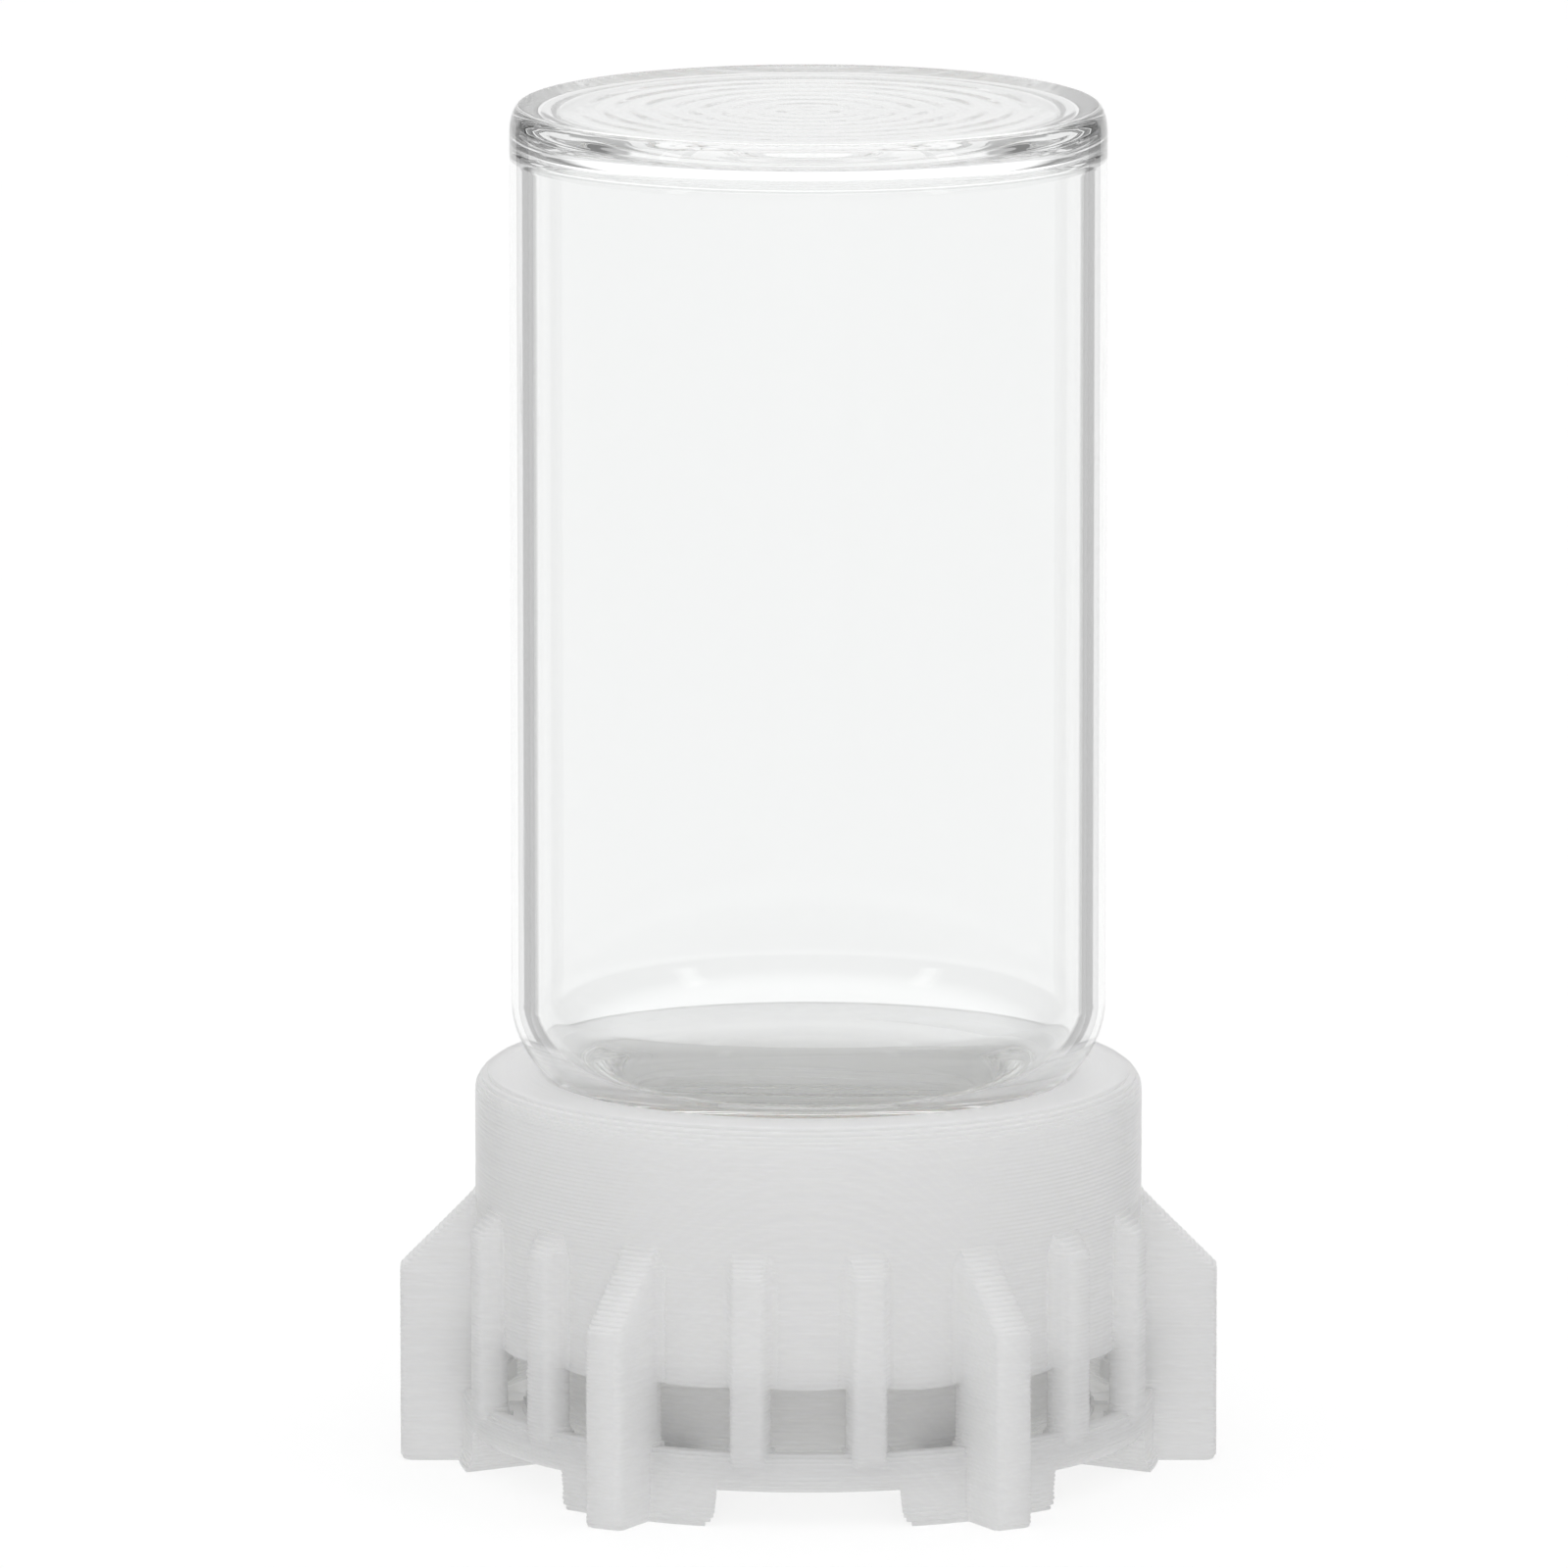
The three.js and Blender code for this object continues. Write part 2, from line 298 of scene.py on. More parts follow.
def helix(root_r, tip_r, widths, start_z, turns, start_angle, runout):
    """Rod with a trapezoid section along a helix; it sinks to its root at both ends."""
    steps = round(turns * THREAD_STEPS)
    root, tip = widths[0] / 2, widths[1] / 2
    section = [(-root, 0), (root, 0), (tip, 1), (-tip, 1)]
    verts, faces = [], []
    for i in range(steps + 1):
        along = i / steps
        height = min(1.0, THREAD_END + min(along, 1 - along) * turns / runout)
        angle = start_angle + along * turns * 2 * math.pi
        for axial, share in section:
            r = root_r + share * height * (tip_r - root_r)
            z = start_z + axial + along * turns * THREAD_PITCH
            verts.append((r * math.cos(angle), r * math.sin(angle), z))
    count = len(section)
    for i in range(steps):
        for a in range(count):
            b = (a + 1) % count
            faces.append((i * count + a, i * count + b, (i + 1) * count + b, (i + 1) * count + a))
    last = steps * count
    faces.append(tuple(range(count - 1, -1, -1)))
    faces.append(tuple(range(last, last + count)))
    return verts, faces


def combine(target, tool, operation):
    """Joins tool to target, or cuts it away, and removes the tool."""
    modifier = target.modifiers.new("combine", "BOOLEAN")
    modifier.object = tool
    modifier.operation = operation
    modifier.solver = "MANIFOLD"
    depsgraph = bpy.context.evaluated_depsgraph_get()
    mesh = bpy.data.meshes.new_from_object(target.evaluated_get(depsgraph))
    target.modifiers.clear()
    target.data = mesh
    bpy.data.objects.remove(tool)


def arc(centre, radius, start, end, steps, radius_z=None):
    """Points on an arc, start and end in degrees. An ellipse has a second radius."""
    rise = radius_z or radius
    angles = [math.radians(start + (end - start) * i / steps) for i in range(steps + 1)]
    return [(centre[0] + radius * math.cos(a), centre[1] + rise * math.sin(a)) for a in angles]


def finish_piece(obj, body, node, material, smooth_angle):
    """Scales the piece to metres, gives it its material, ties it to its body and hides the CAD node it
    stands for.
    """
    for vertex in obj.data.vertices:
        vertex.co *= MM
    obj.data.shade_smooth()
    obj.data.set_sharp_from_angle(angle=math.radians(smooth_angle))
    obj.data.materials.clear()
    obj.data.materials.append(material)
    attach(obj, body)
    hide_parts(node)


# ---------------------------------------------------------------- printed base

layer_shift = [random.gauss(0, LAYER_WANDER) for _ in range(round(COLLAR_TOP / LAYER) + 2)]


def bead_rows(z_low, z_high, upward=True):
    """(z, middle of the layer, inset) for each row of the rounded beads between two heights."""
    first, last = round(z_low / LAYER), round(z_high / LAYER)
    rows = []
    for k in range(first, last):
        for share, depth in BEAD_ROWS:
            inset = depth * BEAD - layer_shift[k]
            rows.append(((k + share) * LAYER, (k + 0.5) * LAYER, inset))
    return rows if upward else rows[::-1]


def wall(z_low, z_high, radius_at, outward=True):
    """Profile points up an outer wall, or down an inner one."""
    sign = -1 if outward else 1
    return [(radius_at(mid) + sign * inset, z) for z, mid, inset in bead_rows(z_low, z_high, outward)]


def rounded_end(radius, round_radius, into):
    """Radius of a wall whose end is rounded, at a distance into the rounding."""
    if into <= 0:
        return radius
    return radius - round_radius + math.sqrt(round_radius ** 2 - into ** 2)


def rim_radius(z):
    below = rounded_end(RIM_R, UNDERSIDE_ROUND, UNDERSIDE_Z + UNDERSIDE_ROUND - z)
    return min(below, rounded_end(RIM_R, LIP_ROUND, z - LIP_Z + LIP_ROUND))


def collar_radius(z):
    return rounded_end(COLLAR_R, COLLAR_EDGE, z - COLLAR_TOP + COLLAR_EDGE)


def socket_radius(z):
    return SOCKET_R


def trough_outer_radius(z):
    return TROUGH_R + (LIP_INNER_R - TROUGH_R) * (z - TROUGH_Z) / (LIP_Z - TROUGH_Z)


def well_wall_radius(z):
    rise = TROUGH_FILLET - (z - TROUGH_Z)
    if rise <= 0:
        return WELL_WALL_R
    return WELL_WALL_R + TROUGH_FILLET - math.sqrt(TROUGH_FILLET ** 2 - rise ** 2)


def flat_beads(r_from, r_to, z):
    """Profile points across a flat top laid in concentric beads."""
    count = max(1, round(abs(r_to - r_from) / FLAT_BEAD_WIDTH))
    points = []
    for i in range(count):
        for share, low in FLAT_BEAD_ROWS:
            points.append((r_from + (r_to - r_from) * (i + share) / count, z - low * FLAT_BEAD_DEPTH))
    return points


def base_profile():
    """Section of the base, from the middle of the underside over the collar to the well's floor."""
    return [
        (0, UNDERSIDE_Z),
        (RIM_R - UNDERSIDE_ROUND, UNDERSIDE_Z),
        *wall(UNDERSIDE_Z, LIP_Z, rim_radius),
        *flat_beads(RIM_R - LIP_ROUND, LIP_INNER_R + FLAT_BEAD_MARGIN, LIP_Z),
        *wall(TROUGH_Z, LIP_Z, trough_outer_radius, outward=False),
        *flat_beads(TROUGH_R - FLAT_BEAD_MARGIN, WELL_WALL_R + TROUGH_FILLET, TROUGH_Z),
        *wall(TROUGH_Z, WINDOW_TOP, well_wall_radius),
        *[(r, WINDOW_TOP) for r in WINDOW_TOP_RADII],
        *wall(WINDOW_TOP, COLLAR_TOP, collar_radius),
        *flat_beads(COLLAR_R - COLLAR_EDGE, SOCKET_R + SOCKET_LEAD, COLLAR_TOP),
        *wall(SEAT_Z, COLLAR_TOP - SOCKET_LEAD, socket_radius, outward=False),
        (WELL_R, SEAT_Z),
        (WELL_R, TROUGH_Z),
        (0, TROUGH_Z),
    ]


window_sag = [random.uniform(*SAG_RANGE) for _ in range(POSITIONS)]
window_skew = [random.uniform(-SAG_SKEW, SAG_SKEW) for _ in range(POSITIONS)]


def sagging_window_tops(radius, z, angle):
    """Lets the first layers over each window hang a little between the bars."""
    height_above = z - WINDOW_TOP
    sag_height = SAG_LAYERS * LAYER
    if radius <= SAG_START_R or height_above < -WINDOW_TOP_SLACK or height_above > sag_height:
        return radius, z
    pitch = 2 * math.pi / POSITIONS
    place = (angle % pitch) / pitch
    window = int(angle / pitch) % POSITIONS
    across = min(1.0, max(0.0, place + window_skew[window] * place * (1 - place)))
    bow = math.sin(math.pi * across) ** SAG_SHARPNESS
    share = (1 - height_above / sag_height) ** SAG_SHARPNESS
    depth_share = min(1.0, (radius - WELL_WALL_R) / (COLLAR_R - WELL_WALL_R))
    return radius, z - window_sag[window] * bow * share * depth_share


def bar_outline(inner, outer, half, corner, fillet, taper, skirt):
    """Plan of a bar: rounded outer corners, a fillet at the collar wall, a skirt over the lip."""
    reach = outer - COLLAR_R
    fillet = min(fillet, reach * ROUND_SHARE)
    corner = min(corner, reach * ROUND_SHARE)
    start, end = COLLAR_R + fillet, outer - corner
    side = [start + (end - start) * i / BAR_SIDE_POINTS for i in range(1, BAR_SIDE_POINTS)]
    root = half + skirt
    lower = [(inner, -root - fillet)]
    lower += arc((start, -root - fillet), fillet, 180, 90, BAR_FILLET_STEPS)
    for x in side:
        over_lip = min(1.0, max(0.0, (RIM_R - LIP_ROUND - x) / LIP_BLEND))
        lower.append((x, -half - skirt * over_lip + taper * (x - start) / (end - start)))
    lower += arc((end, -half + taper + corner), corner, -90, 0, BAR_CORNER_STEPS)
    upper = [(x, -y) for x, y in reversed(lower)]
    return lower + upper


def bar(z_low, z_high, inner_at, outer_at, corner, taper):
    """Stack of beads whose plan follows the bar's slope, its fillets and its rounded corners."""
    rings = []
    for z, mid, inset in bead_rows(z_low, z_high):
        fillet = WINDOW_FILLET if mid < WINDOW_TOP else WALL_FILLET
        above_sill = (mid - LIP_Z) / SILL_FILLET
        skirt = 0.0
        if 0 < above_sill < 1:
            skirt = SILL_FILLET * (1 - math.sqrt(1 - (1 - above_sill) ** 2))
        slope = BAR_STEP_SHARE * outer_at(mid) + (1 - BAR_STEP_SHARE) * outer_at(z)
        outer = max(slope - inset, COLLAR_R + BAR_LEAST_REACH)
        inner = RIB_INNER_R if LIP_Z < mid < WINDOW_TOP else inner_at
        rings.append((bar_outline(inner, outer, BAR_HALF - inset, corner, fillet, taper, skirt), z))
    return stack(rings)


def rib_radius(z):
    slope = COLLAR_R + (RIB_TOP - z) * (RIB_R - COLLAR_R)
    share = min(1.0, max(0.0, (z - RIB_BOTTOM) / (LIP_Z - RIB_BOTTOM)))
    toe = RIB_TOE_R + (RIB_R - RIB_TOE_R) * math.sin(share * math.pi / 2)
    return min(RIB_R, slope, toe)


def fin_radius(z):
    slope = COLLAR_R + (FIN_TOP - z)
    return min(slope, rounded_end(FIN_R, FIN_FOOT_ROUND, FIN_FOOT_ROUND - z))


def foot():
    """Wedge-shaped foot on the X axis, between two straight channels that cross on the axis."""
    half_wedge = math.pi / (2 * CHANNELS)
    wedge_cos, wedge_sin = math.cos(half_wedge), math.sin(half_wedge)
    rings = []
    for z, mid, inset in bead_rows(0, FOOT_TOP):
        low = max(0.0, 1 - mid / FOOT_ROUND)
        roundness = FOOT_ROUND * (1 - math.sqrt(1 - low ** 2))
        slant = CHANNEL_SLANT * (1 - mid / FOOT_TOP)
        channel = CHANNEL_HALF + slant + roundness + inset
        outer = FOOT_R + FOOT_TOE * low - inset
        inner = max(FOOT_INNER_R, channel / wedge_sin + FOOT_POINT)
        reach = half_wedge - math.asin(channel / outer)
        angles = [reach * (2 * i / FOOT_STEPS - 1) for i in range(FOOT_STEPS + 1)]
        outline = [(outer * math.cos(a), outer * math.sin(a)) for a in angles]
        half = (inner * wedge_sin - channel) / wedge_cos
        outline += [(inner, half), (inner, -half)]
        rings.append((outline, z))
    return stack(rings)


def outlet():
    """Slot from the well to the trough, below the trough's lip."""
    start, end = WELL_R - OUTLET_OVERREACH, WELL_WALL_R + OUTLET_OVERREACH
    plan = [(start, -OUTLET_HALF), (end, -OUTLET_HALF), (end, OUTLET_HALF), (start, OUTLET_HALF)]
    return stack([(plan, OUTLET_LOW), (plan, OUTLET_HIGH)])


def socket_groove():
    """Groove that takes the thread; it comes in from below and leaves through the collar's top."""
    start_z = THREAD_Z - THREAD_PITCH / 2
    turns = (COLLAR_TOP - start_z) / THREAD_PITCH + GROOVE_PAST_TOP
    lag = 2 * math.pi * (start_z - THREAD_Z) / THREAD_PITCH
    return helix(SOCKET_R - GROOVE_CUT_BACK, GROOVE_R, GROOVE_WIDTHS, start_z, turns,
                 THREAD_START + lag, GROOVE_RUNOUT)


def roughen(obj):
    """Slow waviness of every bead, as a print has."""
    top_layer = round(COLLAR_TOP / LAYER) - 1
    for vertex in obj.data.vertices:
        x, y, z = vertex.co
        layer = min(math.floor(z / LAYER), top_layer)
        reach = math.hypot(x, y)
        if reach < WELL_R:
            continue
        place = Vector((x * WAVES_PER_MM, y * WAVES_PER_MM, layer * WAVES_PER_LAYER))
        push = noise.noise(place) * WAVE / reach
        vertex.co.x += x * push
        vertex.co.y += y * push


def build_base(material):
    step = 2 * math.pi / POSITIONS
    fin_angles = [i * step for i in range(POSITIONS) if i % FIN_EVERY == 0]
    rib_angles = [i * step for i in range(POSITIONS) if i % FIN_EVERY]
    buried = COLLAR_R - BAR_BURIED
    rib = bar(RIB_BOTTOM, RIB_TOP, buried, rib_radius, BAR_CORNER, BAR_TAPER)
    fin = bar(0, FIN_TOP, buried, fin_radius, FIN_CORNER, 0.0)
    bars = turned([rib] * len(rib_angles) + [fin] * len(fin_angles), rib_angles + fin_angles)
    feet = turned([foot()] * len(fin_angles), fin_angles)
    outlets = turned([outlet()] * len(fin_angles), fin_angles)
    base = revolve("base_print", base_profile(), ROUND, sagging_window_tops)
    combine(base, new_object("bars", *bars), "UNION")
    combine(base, new_object("feet", *feet), "UNION")
    combine(base, new_object("outlets", *outlets), "DIFFERENCE")
    combine(base, new_object("groove", *socket_groove()), "DIFFERENCE")
    roughen(base)
    finish_piece(base, "base", "printed_base", material, PRINT_SMOOTH)


# ----------------------------------------------------------------------- bottle

def shoulder(radius, z, roundness, neck_r, fillet):
    """Points from the body down and in to the neck: a convex arc, then a concave one."""
    centre = (radius - roundness, z)
    across = neck_r + fillet - centre[0]
    drop = math.sqrt((roundness + fillet) ** 2 - across ** 2)
    lean = math.degrees(math.atan2(drop, across))
    neck_centre = (neck_r + fillet, z - drop)
    convex = arc(centre, roundness, 0, -lean, SHOULDER_STEPS)
    concave = arc(neck_centre, fillet, 180 - lean, 180, SHOULDER_STEPS)
    return convex + concave[1:]


def ripple(r):
    """Height of the faint rings that the press left inside the bottle's base."""
    fade = min(1.0, r / RIPPLE_START) * min(1.0, max(0.0, (RIPPLE_END - r) / RIPPLE_FADE))
    return RIPPLE * fade * math.sin(2 * math.pi * r / RIPPLE_PITCH)


def bottle_outside():
    """Outer points, from the mouth's rim up to the middle of the base."""
    top, low = bottle_high.z, bottle_low.z
    corner_r, corner_z = BASE_CORNER
    flat_r = BOTTLE_R - corner_r
    base_radii = [flat_r * (1 - i / BASE_ROWS) for i in range(1, BASE_ROWS + 1)]
    return [
        (BORE_R + MOUTH_ROUND, low),
        *arc((NECK_R - MOUTH_ROUND, low + MOUTH_ROUND), MOUTH_ROUND, -90, 0, MOUTH_STEPS),
        *reversed(shoulder(BOTTLE_R, SHOULDER_Z, SHOULDER_ROUND, NECK_R, NECK_FILLET)),
        (BOTTLE_R, SHOULDER_Z + WALL_END),
        (BOTTLE_R, top - corner_z - WALL_END),
        *arc((flat_r, top - corner_z), corner_r, 0, 90, BASE_CORNER_STEPS, corner_z),
        *[(r, top - PUNT * (1 - (r / flat_r) ** 2)) for r in base_radii],
    ]


def bottle_inside():
    """Inner points, from the middle of the base down to the mouth's rim."""
    floor_z, low = bottle_high.z - BASE_GLASS, bottle_low.z
    inner_r = BOTTLE_R - GLASS
    flat_r = inner_r - BASE_INNER_CORNER
    corner_z = floor_z - BASE_INNER_CORNER
    base_radii = [flat_r * i / BASE_ROWS for i in range(BASE_ROWS)]
    return [
        *[(r, floor_z - PUNT * (1 - (r / flat_r) ** 2) + ripple(r)) for r in base_radii],
        *arc((flat_r, corner_z), BASE_INNER_CORNER, 90, 0, INNER_CORNER_STEPS),
        (inner_r, corner_z - WALL_END),
        (inner_r, SHOULDER_Z + WALL_END),
        *shoulder(inner_r, SHOULDER_Z, SHOULDER_ROUND - GLASS, BORE_R, NECK_FILLET + GLASS),
        (BORE_R, low + MOUTH_ROUND),
        (BORE_R + MOUTH_EASE, low + MOUTH_EASE),
    ]


def build_bottle(material):
    bottle = revolve("bottle_glass", bottle_inside() + bottle_outside(), BOTTLE_ROUND)
    thread = helix(NECK_R - THREAD_BITE, THREAD_R, THREAD_WIDTHS, THREAD_Z, THREAD_TURNS,
                   THREAD_START, THREAD_RUNOUT)
    combine(bottle, new_object("thread", *thread), "UNION")
    finish_piece(bottle, "bottle", "glass_bottle", material, GLASS_SMOOTH)


# ----------------------------------------------------------------------- gasket

def build_gasket(material):
    low, high = gasket_low.z + GASKET_EDGE, gasket_high.z - GASKET_EDGE
    outer, inner = gasket_high.x - GASKET_EDGE, WELL_R + GASKET_EDGE
    profile = [
        *arc((outer, low), GASKET_EDGE, -90, 0, GASKET_STEPS),
        *arc((outer, high), GASKET_EDGE, 0, 90, GASKET_STEPS),
        *arc((inner, high), GASKET_EDGE, 90, 180, GASKET_STEPS),
        *arc((inner, low), GASKET_EDGE, 180, 270, GASKET_STEPS),
    ]
    gasket = revolve_ring("gasket_ring", profile, GASKET_ROUND)
    finish_piece(gasket, "gasket", "mouth_gasket", material, GASKET_SMOOTH)


# -------------------------------------------------------------------- materials
# Noise scales are per metre.

STREAKS_SCALE = (60, 60, 5000)
PRINT_CLOUDS_SCALE = 220.0
PRINT_DARK = (0.945, 0.945, 0.941, 1)
PRINT_LIGHT = (0.953, 0.953, 0.949, 1)
PRINT_RAMP = (0.75, 1.0)
PRINT_ROUGHNESS = (0.31, 0.34)
PRINT_GRAIN_SCALE = 2600.0
PRINT_GRAIN_HEIGHT = 0.00002
PRINT_SCATTER_COLOUR = (1.0, 1.0, 0.95)
PRINT_SCATTER = 0.006
PRINT_IOR = 1.52

SCRATCH_SCALE = (900, 900, 90)
SCRATCH_LEAN = (0.25, 0.1, 0.0)
SCRATCH_RAMP = (0.60, 0.72)
SCRATCH_ROUGHNESS = 0.10
GLASS_COLOUR = (0.945, 0.95, 0.948, 1)
GLASS_IOR = 1.5

RUBBER_CLOUDS_SCALE = 900.0
RUBBER_DARK = (0.70, 0.68, 0.63, 1)
RUBBER_LIGHT = (0.80, 0.78, 0.74, 1)
RUBBER_GRAIN_HEIGHT = 0.00003
RUBBER_ROUGHNESS = 0.55
RUBBER_SCATTER_WEIGHT = 0.3
RUBBER_SCATTER = 0.001


def grey(value):
    return (value, value, value, 1)


def new_material(name):
    material = bpy.data.materials.new(name)
    material.use_nodes = True
    nodes = material.node_tree.nodes
    return material, nodes, material.node_tree.links, nodes["Principled BSDF"]


def add_node(nodes, kind, **settings):
    """New node; each setting is an input's value or one of the node's own settings."""
    node = nodes.new(kind)
    for key, value in settings.items():
        if key in node.inputs:
            node.inputs[key].default_value = value
        else:
            setattr(node, key, value)
    return node


def add_map_range(nodes, low, high):
    """Node that takes 0 to 1 to the range from low to high."""
    node = nodes.new("ShaderNodeMapRange")
    node.inputs["To Min"].default_value = low
    node.inputs["To Max"].default_value = high
    return node


def add_ramp(nodes, low_colour, high_colour, places=(0.0, 1.0)):
    """Node that goes from one colour to another between two places."""
    node = nodes.new("ShaderNodeValToRGB")
    for element, place, colour in zip(node.color_ramp.elements, places, (low_colour, high_colour)):
        element.position = place
        element.color = colour
    return node


def scaled(nodes, links, value, factor):
    """Output that is the value times the factor."""
    node = add_node(nodes, "ShaderNodeMath", operation="MULTIPLY")
    node.inputs[1].default_value = factor
    links.new(value, node.inputs[0])
    return node.outputs[0]


def printed_plastic():
    """Natural translucent print: milky, satin, each layer a little different."""
    material, nodes, links, shader = new_material("printed_plastic")
    place = nodes.new("ShaderNodeTexCoord")
    per_layer = nodes.new("ShaderNodeMapping")
    per_layer.inputs["Scale"].default_value = STREAKS_SCALE
    links.new(place.outputs["Object"], per_layer.inputs["Vector"])
    streaks = add_node(nodes, "ShaderNodeTexNoise", Scale=1.0, Detail=2.0)
    links.new(per_layer.outputs["Vector"], streaks.inputs["Vector"])
    clouds = add_node(nodes, "ShaderNodeTexNoise", Scale=PRINT_CLOUDS_SCALE, Detail=4.0)
    links.new(place.outputs["Object"], clouds.inputs["Vector"])
    both = add_node(nodes, "ShaderNodeMath", operation="ADD")
    links.new(streaks.outputs["Fac"], both.inputs[0])
    links.new(clouds.outputs["Fac"], both.inputs[1])
    colour = add_ramp(nodes, PRINT_DARK, PRINT_LIGHT, PRINT_RAMP)
    links.new(both.outputs[0], colour.inputs["Fac"])
    links.new(colour.outputs["Color"], shader.inputs["Base Color"])
    rough = add_map_range(nodes, *PRINT_ROUGHNESS)
    links.new(streaks.outputs["Fac"], rough.inputs["Value"])
    links.new(rough.outputs["Result"], shader.inputs["Roughness"])
    grain = add_node(nodes, "ShaderNodeTexNoise", Scale=PRINT_GRAIN_SCALE, Detail=2.0)
    links.new(place.outputs["Object"], grain.inputs["Vector"])
    bump = add_node(nodes, "ShaderNodeBump", Strength=0.25, Distance=PRINT_GRAIN_HEIGHT)
    links.new(grain.outputs["Fac"], bump.inputs["Height"])
    links.new(bump.outputs["Normal"], shader.inputs["Normal"])
    shader.inputs["Subsurface Weight"].default_value = 1.0
    shader.inputs["Subsurface Radius"].default_value = PRINT_SCATTER_COLOUR
    shader.inputs["Subsurface Scale"].default_value = PRINT_SCATTER
    shader.inputs["IOR"].default_value = PRINT_IOR
    return material


def let_soft_light_through(material, nodes, links, shader):
    """Shadow and diffuse rays pass straight through, so that glass shades nothing behind it."""
    ray = nodes.new("ShaderNodeLightPath")
    soft_light = add_node(nodes, "ShaderNodeMath", operation="MAXIMUM")
    links.new(ray.outputs["Is Shadow Ray"], soft_light.inputs[0])
    links.new(ray.outputs["Is Diffuse Ray"], soft_light.inputs[1])
    clear = nodes.new("ShaderNodeBsdfTransparent")
    either = nodes.new("ShaderNodeMixShader")
    links.new(soft_light.outputs[0], either.inputs["Fac"])
    links.new(shader.outputs["BSDF"], either.inputs[1])
    links.new(clear.outputs["BSDF"], either.inputs[2])
    links.new(either.outputs["Shader"], nodes["Material Output"].inputs["Surface"])


def clear_glass():
    """Clear bottle glass with faint handling scratches."""
    material, nodes, links, shader = new_material("clear_glass")
    place = nodes.new("ShaderNodeTexCoord")
    stretch = nodes.new("ShaderNodeMapping")
    stretch.inputs["Scale"].default_value = SCRATCH_SCALE
    stretch.inputs["Rotation"].default_value = SCRATCH_LEAN
    links.new(place.outputs["Object"], stretch.inputs["Vector"])
    scratches = add_node(nodes, "ShaderNodeTexNoise", Scale=1.0, Detail=3.0, Roughness=0.7)
    links.new(stretch.outputs["Vector"], scratches.inputs["Vector"])
    rough = add_ramp(nodes, grey(0.0), grey(SCRATCH_ROUGHNESS), SCRATCH_RAMP)
    links.new(scratches.outputs["Fac"], rough.inputs["Fac"])
    links.new(rough.outputs["Color"], shader.inputs["Roughness"])
    shader.inputs["Base Color"].default_value = GLASS_COLOUR
    shader.inputs["Transmission Weight"].default_value = 1.0
    shader.inputs["IOR"].default_value = GLASS_IOR
    let_soft_light_through(material, nodes, links, shader)
    return material


def silicone():
    """Milky gasket rubber."""
    material, nodes, links, shader = new_material("silicone")
    place = nodes.new("ShaderNodeTexCoord")
    clouds = add_node(nodes, "ShaderNodeTexNoise", Scale=RUBBER_CLOUDS_SCALE, Detail=3.0)
    links.new(place.outputs["Object"], clouds.inputs["Vector"])
    colour = add_ramp(nodes, RUBBER_DARK, RUBBER_LIGHT)
    links.new(clouds.outputs["Fac"], colour.inputs["Fac"])
    links.new(colour.outputs["Color"], shader.inputs["Base Color"])
    bump = add_node(nodes, "ShaderNodeBump", Strength=0.3, Distance=RUBBER_GRAIN_HEIGHT)
    links.new(clouds.outputs["Fac"], bump.inputs["Height"])
    links.new(bump.outputs["Normal"], shader.inputs["Normal"])
    shader.inputs["Roughness"].default_value = RUBBER_ROUGHNESS
    shader.inputs["Subsurface Weight"].default_value = RUBBER_SCATTER_WEIGHT
    shader.inputs["Subsurface Scale"].default_value = RUBBER_SCATTER
    return material


# ------------------------------------------------------------ floor, light, camera
# Metres and watts.

# The floor glows, less for diffuse rays, so that it looks white but lights the object softly.
FLOOR_SIZE = 3.0
FLOOR_GREY = 0.50
FLOOR_ROUGHNESS = 0.9
FLOOR_GLOW = 0.60
FLOOR_DIFFUSE_GLOW = 0.32

# Studio walls, by degrees away from straight behind the object.
SWEEP_DEGREES = 27
BACK_GREY = 0.86
SIDE_GREY = 0.22
SIDE_DEGREES = (SWEEP_DEGREES + 4, 115)
FRONT_GREY = 0.45
FRONT_DEGREES = 150
TOP_GREY = 2.0
TOP_HEIGHTS = (0.35, 0.7)
DIFFUSE_SHARE = 0.40

# Painted shade on the floor: bends, in degrees, of the rays that draw the dark edges of glass, and the
# light they keep.
EDGE_BEND = (26.5, 41.5)
EDGE_BLUR = 1.0
EDGE_SHARE = 0.45

SOFTBOX_DISTANCE = 0.8
SIDE_BOX_DEGREES = (("left_softbox", 215), ("right_softbox", 325))
SIDE_BOX_HEIGHT = 0.35
SIDE_BOX_SIZE = (0.12, 0.4)
SIDE_BOX_POWER = 0.2
FRONT_BOX_HEIGHT = 0.18
FRONT_BOX_SIZE = (0.4, 0.3)
FRONT_BOX_POWER = 0.86

CAMERA_ELEVATION = math.radians(9.97)
CAMERA_DISTANCE = 0.913
CAMERA_LENS = 454
CAMERA_SENSOR = 36
CAMERA_SHIFT = -0.0156

GLASS_BOUNCES = 96
DIFFUSE_BOUNCES = 8
SEE_THROUGH_BOUNCES = 32
ALL_BOUNCES = 128


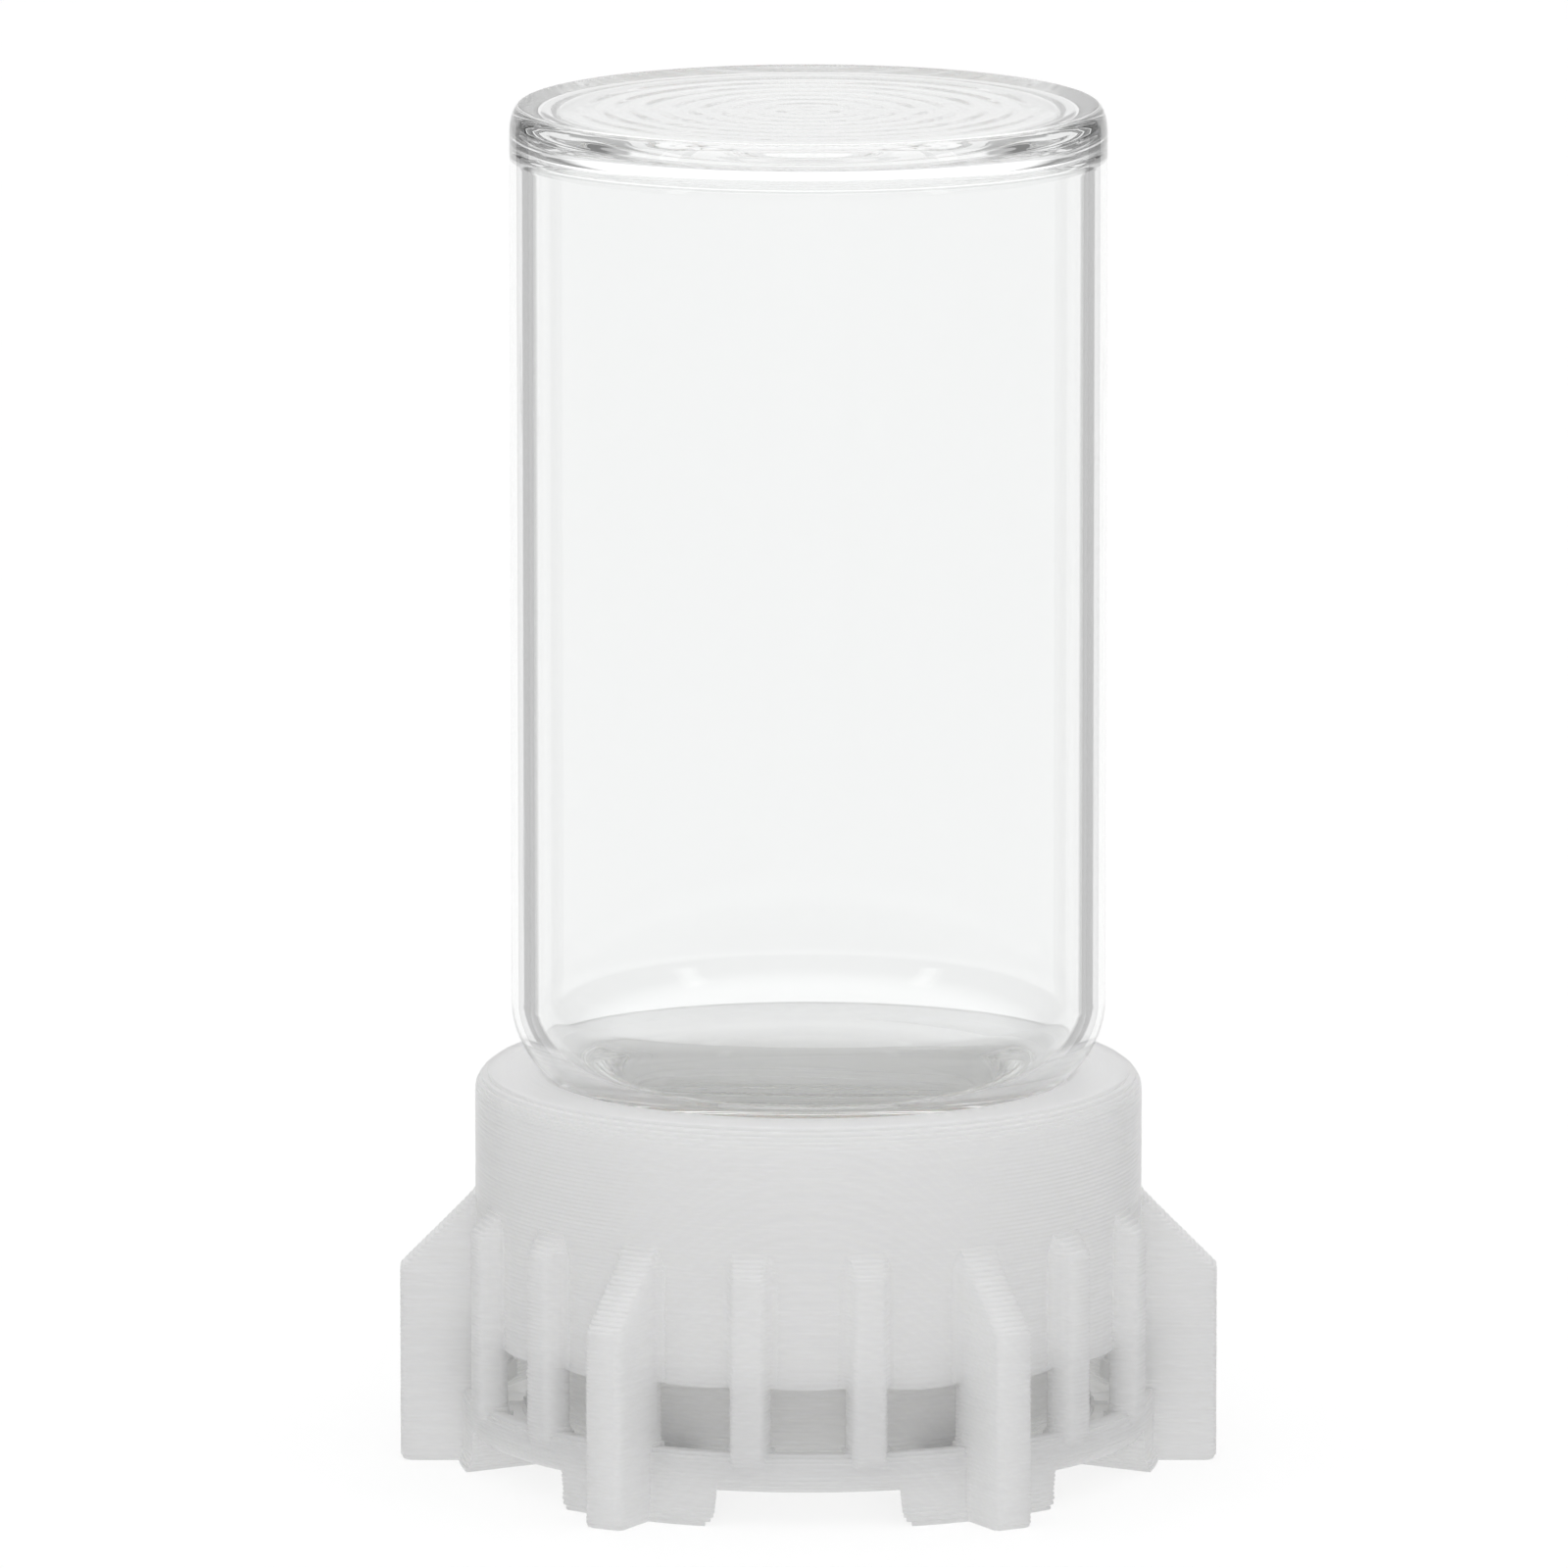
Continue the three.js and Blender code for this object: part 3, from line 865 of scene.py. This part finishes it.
def edge_shade(nodes, links):
    """Painted shade on the floor: share of its light left for a ray that glass has bent sideways, which
    draws dark edges in the glass.

    The bend is the angle between the ray and the camera's own direction, seen in plan. Rays that
    come back towards the camera and diffuse rays keep all of the light.
    """
    geometry = nodes.new("ShaderNodeNewGeometry")
    turn = add_node(nodes, "ShaderNodeVectorTransform", vector_type="VECTOR",
                    convert_from="WORLD", convert_to="CAMERA")
    links.new(geometry.outputs["Incoming"], turn.inputs["Vector"])
    split = nodes.new("ShaderNodeSeparateXYZ")
    links.new(turn.outputs["Vector"], split.inputs[0])
    sideways = add_node(nodes, "ShaderNodeMath", operation="ABSOLUTE")
    links.new(split.outputs["X"], sideways.inputs[0])
    onward = scaled(nodes, links, split.outputs["Z"], -1.0)
    bend = add_node(nodes, "ShaderNodeMath", operation="ARCTAN2")
    links.new(sideways.outputs[0], bend.inputs[0])
    links.new(onward, bend.inputs[1])
    low, high = EDGE_BEND
    ends = ((low - EDGE_BLUR) / 90, (high + EDGE_BLUR) / 90)
    shade = add_ramp(nodes, grey(1), grey(1), ends)
    for degrees in EDGE_BEND:
        shade.color_ramp.elements.new(degrees / 90).color = grey(EDGE_SHARE)
    links.new(scaled(nodes, links, bend.outputs[0], 2 / math.pi), shade.inputs["Fac"])
    ray = nodes.new("ShaderNodeLightPath")
    share = add_node(nodes, "ShaderNodeMath", operation="MAXIMUM")
    links.new(shade.outputs["Color"], share.inputs[0])
    links.new(ray.outputs["Is Diffuse Ray"], share.inputs[1])
    return share.outputs[0]


def build_floor():
    size = FLOOR_SIZE
    corners = [(-size, -size, 0), (size, -size, 0), (size, size, 0), (-size, size, 0)]
    floor = new_object("floor", corners, [(0, 1, 2, 3)])
    material, nodes, links, shader = new_material("floor_white")
    shader.inputs["Roughness"].default_value = FLOOR_ROUGHNESS
    shader.inputs["Emission Color"].default_value = grey(1)
    # Painted shade: the floor's colour and glow are darkened for rays that glass has bent sideways,
    # which draws the glass's dark edges.
    share = edge_shade(nodes, links)
    links.new(scaled(nodes, links, share, FLOOR_GREY), shader.inputs["Base Color"])
    ray = nodes.new("ShaderNodeLightPath")
    glow = add_map_range(nodes, FLOOR_GLOW, FLOOR_DIFFUSE_GLOW)
    links.new(ray.outputs["Is Diffuse Ray"], glow.inputs["Value"])
    glow_share = add_node(nodes, "ShaderNodeMath", operation="MULTIPLY")
    links.new(glow.outputs["Result"], glow_share.inputs[0])
    links.new(share, glow_share.inputs[1])
    links.new(glow_share.outputs[0], shader.inputs["Emission Strength"])
    floor.data.materials.append(material)


def area_light(name, place, target, size, power, mirrored=True):
    data = bpy.data.lights.new(name, "AREA")
    data.shape = "RECTANGLE"
    data.size, data.size_y = size
    data.energy = power
    light = bpy.data.objects.new(name, data)
    light.location = place
    light.rotation_euler = (Vector(target) - Vector(place)).to_track_quat("-Z", "Y").to_euler()
    light.visible_camera = False
    light.visible_glossy = mirrored
    light.visible_transmission = mirrored
    bpy.context.scene.collection.objects.link(light)


def light_scene(target):
    light_world()
    for name, degrees in SIDE_BOX_DEGREES:
        angle = math.radians(degrees)
        place = (SOFTBOX_DISTANCE * math.cos(angle), SOFTBOX_DISTANCE * math.sin(angle), SIDE_BOX_HEIGHT)
        area_light(name, place, target, SIDE_BOX_SIZE, SIDE_BOX_POWER)
    front = (0, -SOFTBOX_DISTANCE, FRONT_BOX_HEIGHT)
    area_light("front_softbox", front, target, FRONT_BOX_SIZE, FRONT_BOX_POWER, mirrored=False)


def wall_colours(nodes, links, split):
    """White sweep behind the object, dark walls at its sides, grey in front."""
    side = add_node(nodes, "ShaderNodeMath", operation="ABSOLUTE")
    links.new(split.outputs["X"], side.inputs[0])
    angle = add_node(nodes, "ShaderNodeMath", operation="ARCTAN2")
    links.new(side.outputs[0], angle.inputs[0])
    links.new(split.outputs["Y"], angle.inputs[1])
    share = add_node(nodes, "ShaderNodeMath", operation="DIVIDE")
    share.inputs[1].default_value = math.pi
    links.new(angle.outputs[0], share.inputs[0])
    walls = add_ramp(nodes, grey(BACK_GREY), grey(FRONT_GREY), (SWEEP_DEGREES / 180, 1.0))
    for degrees, value in (*((d, SIDE_GREY) for d in SIDE_DEGREES), (FRONT_DEGREES, FRONT_GREY)):
        walls.color_ramp.elements.new(degrees / 180).color = grey(value)
    links.new(share.outputs[0], walls.inputs["Fac"])
    return walls


def light_world():
    """Studio walls and a bright ceiling, dimmer for diffuse rays than for reflections."""
    world = bpy.data.worlds.new("studio")
    bpy.context.scene.world = world
    world.use_nodes = True
    nodes, links = world.node_tree.nodes, world.node_tree.links
    place = nodes.new("ShaderNodeTexCoord")
    split = nodes.new("ShaderNodeSeparateXYZ")
    links.new(place.outputs["Generated"], split.inputs[0])
    walls = wall_colours(nodes, links, split)
    overhead = add_node(nodes, "ShaderNodeMapRange")
    overhead.inputs["From Min"].default_value = TOP_HEIGHTS[0]
    overhead.inputs["From Max"].default_value = TOP_HEIGHTS[1]
    links.new(split.outputs["Z"], overhead.inputs["Value"])
    mix = nodes.new("ShaderNodeMixRGB")
    links.new(overhead.outputs["Result"], mix.inputs["Fac"])
    links.new(walls.outputs["Color"], mix.inputs["Color1"])
    mix.inputs["Color2"].default_value = grey(TOP_GREY)
    background = nodes["Background"]
    links.new(mix.outputs["Color"], background.inputs["Color"])
    ray = nodes.new("ShaderNodeLightPath")
    strength = add_map_range(nodes, 1.0, DIFFUSE_SHARE)
    links.new(ray.outputs["Is Diffuse Ray"], strength.inputs["Value"])
    links.new(strength.outputs["Result"], background.inputs["Strength"])


def aim_camera(target):
    data = bpy.data.cameras.new("camera")
    data.sensor_width = CAMERA_SENSOR
    data.lens = CAMERA_LENS
    data.shift_x = CAMERA_SHIFT
    camera = bpy.data.objects.new("camera", data)
    outward = Vector((0, -math.cos(CAMERA_ELEVATION), math.sin(CAMERA_ELEVATION)))
    camera.location = target + CAMERA_DISTANCE * outward
    camera.rotation_euler = (target - camera.location).to_track_quat("-Z", "Y").to_euler()
    bpy.context.scene.collection.objects.link(camera)
    bpy.context.scene.camera = camera


def allow_long_light_paths():
    """Light that is trapped in the glass by total reflection needs many bounces to get out."""
    cycles = bpy.context.scene.cycles
    cycles.diffuse_bounces = DIFFUSE_BOUNCES
    cycles.glossy_bounces = GLASS_BOUNCES
    cycles.transmission_bounces = GLASS_BOUNCES
    cycles.transparent_max_bounces = SEE_THROUGH_BOUNCES
    cycles.max_bounces = ALL_BOUNCES


build_base(printed_plastic())
build_gasket(silicone())
build_bottle(clear_glass())
build_floor()
middle = Vector((0, 0, (cad_bounds[0][2] + cad_bounds[1][2]) / 2))
light_scene(middle)
aim_camera(middle)
bpy.context.scene.view_settings.view_transform = "Standard"
allow_long_light_paths()
